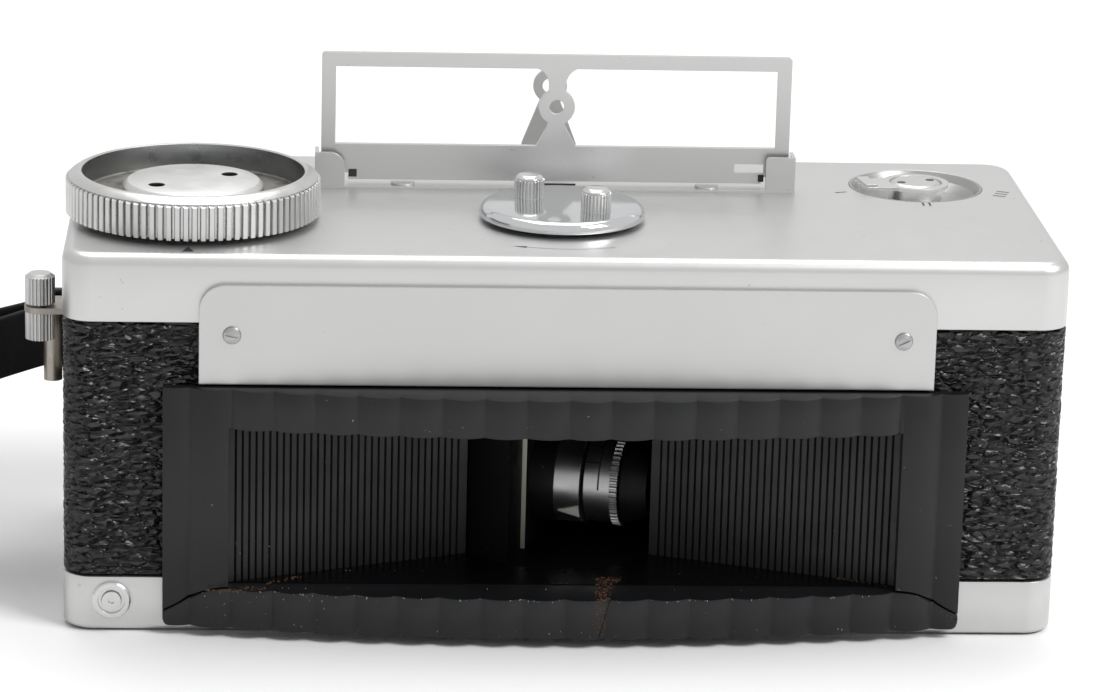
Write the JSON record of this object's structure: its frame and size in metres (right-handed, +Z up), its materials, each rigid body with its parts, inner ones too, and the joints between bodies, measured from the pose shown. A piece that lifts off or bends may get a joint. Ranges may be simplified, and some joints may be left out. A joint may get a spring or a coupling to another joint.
{
  "type": "panoramic camera",
  "caption": "Small panoramic film camera with a swinging lens turret behind a fluted black horn, satin metal covers, pebbled leather, folding wire finder and wrist strap",
  "frame": {"origin": "centre of the tripod socket's mouth in the base, on the table", "axes": "+X to the viewer's right along the body, +Y away from the viewer from the horn to the back, +Z up"},
  "size_m": [0.2237, 0.0648, 0.069],
  "materials": {
    "satin_metal": "satin, fine grained",
    "bright_metal": "polished",
    "steel": "machined",
    "brass": "turned",
    "black_paint": "matt black",
    "black_anodised": "satin black",
    "black_leather": "coarse pebbled",
    "strap_leather": "smooth",
    "optical_glass": "coated"
  },
  "bodies": {
    "root": {"body_casting": "black_paint", "base_cover": "satin_metal", "top_cover": "satin_metal", "leather_wrap": "black_leather", "mechanism_plate": "brass", "film_gate": "black_paint", "tripod_bush": "brass", "base_screws": "steel", "back_hinge_leaf": "steel", "back_hinge_pin": "steel", "back_catch": "steel", "name_plate": "satin_metal", "name_plate_screws": "bright_metal", "horn_frame": "black_anodised", "horn_lower_lip": "black_anodised", "horn_left_wall": "black_paint", "horn_right_wall": "black_paint", "horn_floor": "black_paint", "lower_bearing": "brass", "spring_barrel": "brass", "ratchet_pawl": "steel", "finder_base": "satin_metal", "finder_screws": "steel", "pivot_pins": "steel", "sight_base": "satin_metal", "speed_dish": "satin_metal", "release_collar": "bright_metal", "release_spring": "steel", "side_bracket": "satin_metal", "bracket_nut": "satin_metal", "strap_staple": "steel", "wrist_strap": "strap_leather"},
    "turret": {"turret_drum": "black_paint", "slit_tube": "black_paint", "lens_plate": "bright_metal", "lens_barrel": "black_paint", "index_ring": "bright_metal", "front_cell": "black_paint", "lens_glass": "optical_glass", "turret_shaft": "steel", "drive_spring": "steel", "turret_gear": "brass", "cocking_disc": "bright_metal", "cocking_posts": "bright_metal"},
    "aperture": {"aperture_ring": "bright_metal"},
    "governor": {"governor_pinion": "steel", "governor_flywheel": "brass"},
    "wind": {"wind_knob": "satin_metal", "wind_cap": "steel", "wind_shaft": "steel", "take_up_spool": "black_paint"},
    "finder": {"finder_frame": "satin_metal"},
    "sight": {"rear_sight": "satin_metal"},
    "speed": {"speed_hub": "bright_metal", "speed_lever": "satin_metal"},
    "release": {"release_button": "bright_metal"},
    "release_link": {"release_lever": "steel"},
    "door": {"back_door": "black_paint", "leather_back": "black_leather"},
    "thumb": {"bracket_screw": "satin_metal"}
  },
  "joints": [
    {"name": "turret_turn", "type": "hinge", "parent": "root", "child": "turret", "pos_m": [0, -0.007, 0.015], "axis": [0, 0, 1], "range_deg": [-146, 0]},
    {"name": "aperture_turn", "type": "hinge", "parent": "turret", "child": "aperture", "pos_m": [0, -0.007, 0.015], "axis": [0.9563, -0.2924, 0], "range_deg": [0, 100]},
    {"name": "governor_spin", "type": "hinge", "parent": "root", "child": "governor", "pos_m": [0.01513, -0.00149, 0.039], "axis": [0, 0, 1], "range_deg": [-60, 540]},
    {"name": "wind_turn", "type": "hinge", "parent": "root", "child": "wind", "pos_m": [-0.04865, -0.007, 0.0535], "axis": [0, 0, 1], "continuous": true},
    {"name": "finder_fold", "type": "hinge", "parent": "root", "child": "finder", "pos_m": [0, 0.0101, 0.0534], "axis": [1, 0, 0], "range_deg": [-90, 0]},
    {"name": "sight_fold", "type": "hinge", "parent": "root", "child": "sight", "pos_m": [0, 0.02635, 0.0517], "axis": [1, 0, 0], "range_deg": [0, 90]},
    {"name": "speed_turn", "type": "hinge", "parent": "root", "child": "speed", "pos_m": [0.0499, 0.0134, 0.051], "axis": [0, 0, 1], "range_deg": [0, 158]},
    {"name": "release_push", "type": "slide", "parent": "root", "child": "release", "axis": [0, 1, 0], "range_m": [0, 0.0015], "stiffness_N_per_m": 300},
    {"name": "release_swing", "type": "hinge", "parent": "root", "child": "release_link", "pos_m": [-0.01817, 0.00055, 0.0032], "axis": [0, 0, 1], "range_deg": [-2.2, 0]},
    {"name": "door_swing", "type": "hinge", "parent": "root", "child": "door", "pos_m": [0, 0.02945, 0.00745], "axis": [1, 0, 0], "range_deg": [-100, 0]},
    {"name": "thumb_turn", "type": "hinge", "parent": "root", "child": "thumb", "pos_m": [-0.0692, 0, 0.038], "axis": [0, 0, 1], "continuous": true}
  ],
  "couplings": [
    {"joint": "governor_spin", "follows": "turret_turn", "ratio": -3},
    {"joint": "release_swing", "follows": "release_push", "rad_per_m": -24.7}
  ]
}
